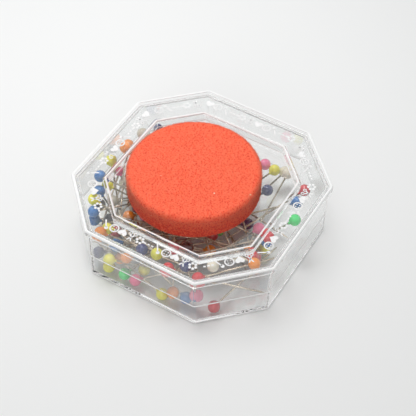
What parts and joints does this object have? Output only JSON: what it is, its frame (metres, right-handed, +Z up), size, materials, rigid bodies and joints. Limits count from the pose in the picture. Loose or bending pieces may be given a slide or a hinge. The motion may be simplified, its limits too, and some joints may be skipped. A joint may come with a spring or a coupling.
{
  "type": "pin cushion",
  "caption": "Clear eight-sided pin box with a lift-off lid that carries a round foam cushion; ball-headed dressmaker's pins lie loose in the tray.",
  "frame": {"origin": "centre of the tray's flat underside, where the box rests on a table", "axes": "+Z up through the lid; +X and +Y square to two of the long sides"},
  "size_m": [0.076, 0.076, 0.0278],
  "materials": {
    "clear_plastic": "crystal-clear moulded polystyrene, polished",
    "foam": "fine open-cell foam, matte, cut edges",
    "adhesive": "double-sided adhesive film",
    "pin_steel": "polished nickel-plated steel wire",
    "white_heads": "glossy moulded plastic ball",
    "yellow_heads": "glossy moulded plastic ball",
    "orange_heads": "glossy moulded plastic ball",
    "red_heads": "glossy moulded plastic ball",
    "pink_heads": "glossy moulded plastic ball",
    "green_heads": "glossy moulded plastic ball",
    "blue_heads": "glossy moulded plastic ball",
    "navy_heads": "glossy moulded plastic ball",
    "black_heads": "glossy moulded plastic ball"
  },
  "bodies": {
    "tray": {"tray": "clear_plastic", "white_pin_heads": "white_heads", "white_pin_shanks": "pin_steel", "yellow_pin_heads": "yellow_heads", "yellow_pin_shanks": "pin_steel", "orange_pin_heads": "orange_heads", "orange_pin_shanks": "pin_steel", "red_pin_heads": "red_heads", "red_pin_shanks": "pin_steel", "pink_pin_heads": "pink_heads", "pink_pin_shanks": "pin_steel", "green_pin_heads": "green_heads", "green_pin_shanks": "pin_steel", "blue_pin_heads": "blue_heads", "blue_pin_shanks": "pin_steel", "navy_pin_heads": "navy_heads", "navy_pin_shanks": "pin_steel", "black_pin_heads": "black_heads", "black_pin_shanks": "pin_steel"},
    "lid": {"lid": "clear_plastic", "foam_cushion": "foam", "adhesive_disc": "adhesive"}
  },
  "joints": [
    {"name": "lid_lift", "type": "slide", "parent": "tray", "child": "lid", "axis": [0, 0, 1], "range_m": [0, 0.03]}
  ]
}
